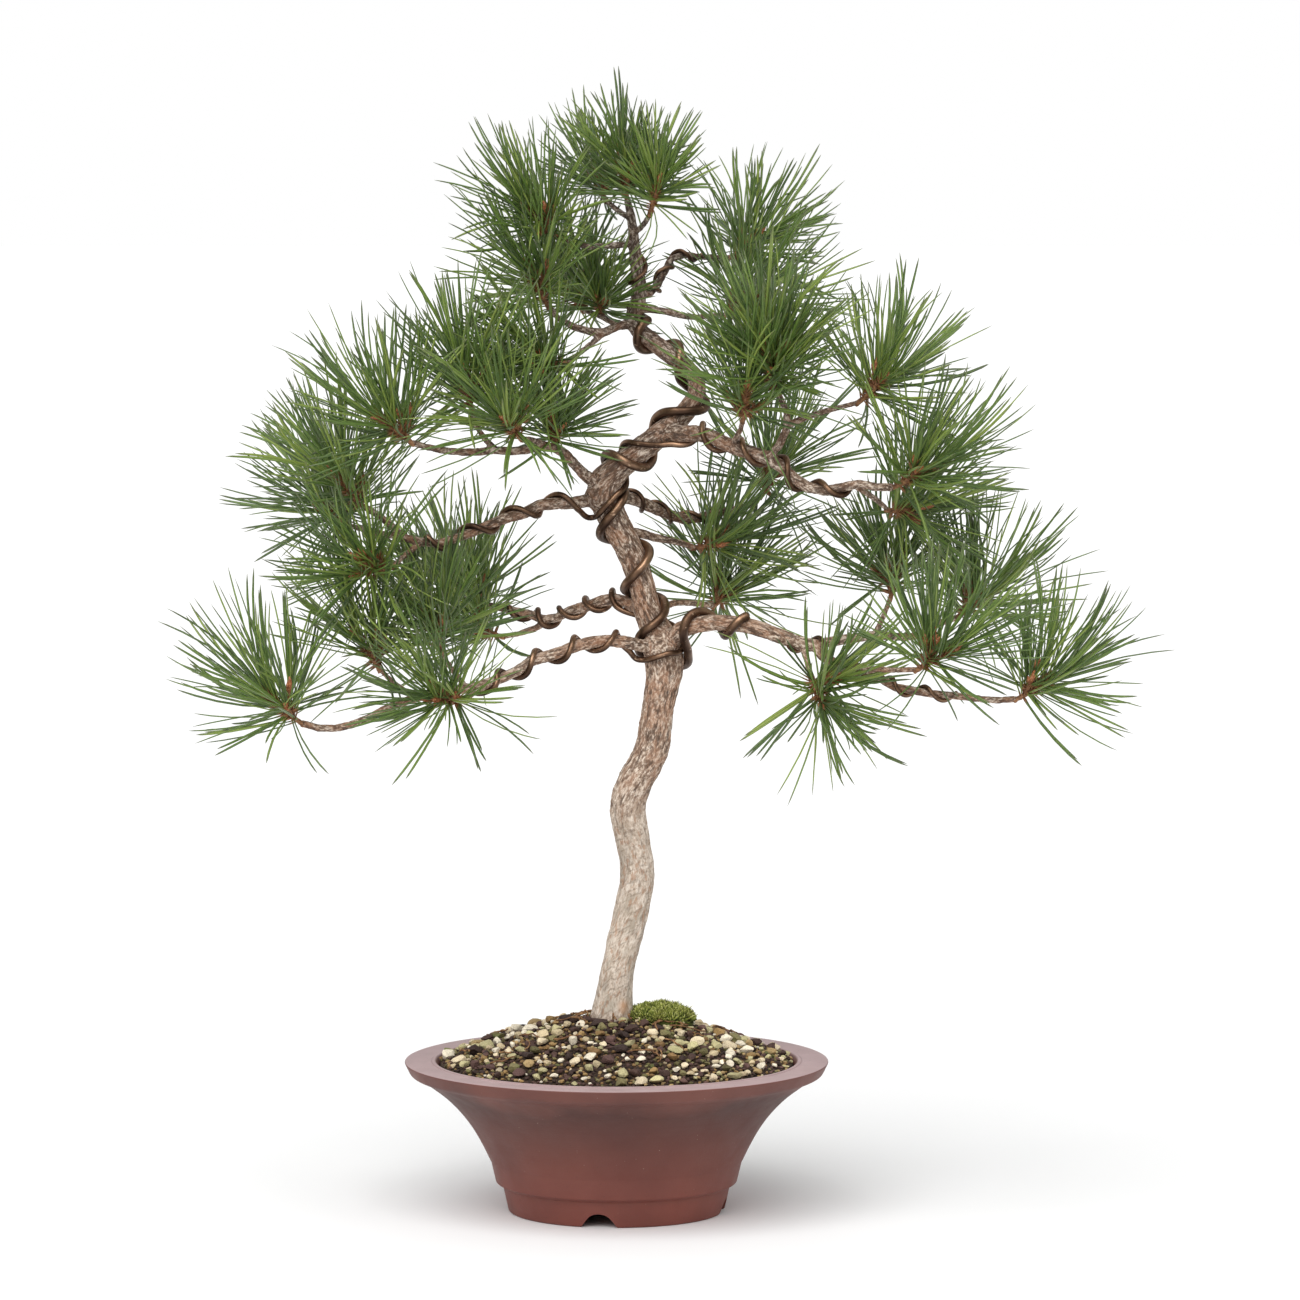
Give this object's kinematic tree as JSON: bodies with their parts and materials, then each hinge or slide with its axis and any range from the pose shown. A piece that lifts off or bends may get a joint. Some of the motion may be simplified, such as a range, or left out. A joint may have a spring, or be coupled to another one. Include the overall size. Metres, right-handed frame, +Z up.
{
  "type": "bonsai tree in a pot",
  "caption": "Young two-needle pine bonsai with wired, S-curved trunk and tiers of long needles, in a round flared unglazed clay pot with a wide rim.",
  "frame": {"origin": "middle of the whole object's outer box, on the plane that the pot's foot stands on", "axes": "+Z up along the trunk, +Y away from the tree's front, +X to the right seen from the front"},
  "size_m": [0.5394, 0.316, 0.6443],
  "materials": {
    "clay": "matte",
    "mesh_plastic": "matte",
    "bare_wire": "satin",
    "grit": "matte",
    "moss": "matte",
    "bark": "matte",
    "bronze_wire": "satin",
    "needles": "satin"
  },
  "bodies": {
    "root": {"branch_back_left": "bark", "branch_back_low": "bark", "branch_back_right": "bark", "branch_back_twig": "bark", "branch_crown_left": "bark", "branch_lower_left": "bark", "branch_lower_right": "bark", "branch_mid_left": "bark", "branch_mid_right": "bark", "branch_right_small": "bark", "branch_top_left": "bark", "branch_top_right": "bark", "branch_upper_left": "bark", "drainage_mesh": "mesh_plastic", "mesh_clip": "bare_wire", "moss": "moss", "pot": "clay", "root_tie_wire": "bare_wire", "soil": "grit", "trunk": "bark", "tuft_apex": "needles", "tuft_back_left_low": "needles", "tuft_back_left_main": "needles", "tuft_back_low_main": "needles", "tuft_back_right_main": "needles", "tuft_back_twig_main": "needles", "tuft_crown_left_back": "needles", "tuft_crown_left_low": "needles", "tuft_crown_left_main": "needles", "tuft_lower_left_front": "needles", "tuft_lower_left_main": "needles", "tuft_lower_left_middle": "needles", "tuft_lower_left_rise": "needles", "tuft_lower_right_far": "needles", "tuft_lower_right_middle": "needles", "tuft_lower_right_near": "needles", "tuft_lower_right_rise": "needles", "tuft_lower_right_under": "needles", "tuft_mid_left_down": "needles", "tuft_mid_left_far": "needles", "tuft_mid_left_main": "needles", "tuft_mid_right_inner": "needles", "tuft_mid_right_low": "needles", "tuft_mid_right_main": "needles", "tuft_mid_right_rise": "needles", "tuft_mid_right_side": "needles", "tuft_right_small_main": "needles", "tuft_top_left_main": "needles", "tuft_top_right_main": "needles", "tuft_trunk_back": "needles", "tuft_trunk_front": "needles", "tuft_upper_left_front": "needles", "tuft_upper_left_main": "needles", "tuft_upper_left_rise": "needles", "wire_back_right": "bronze_wire", "wire_crown": "bronze_wire", "wire_lower_left": "bronze_wire", "wire_main": "bronze_wire", "wire_middle": "bronze_wire", "wire_outer_right": "bronze_wire"}
  },
  "joints": []
}
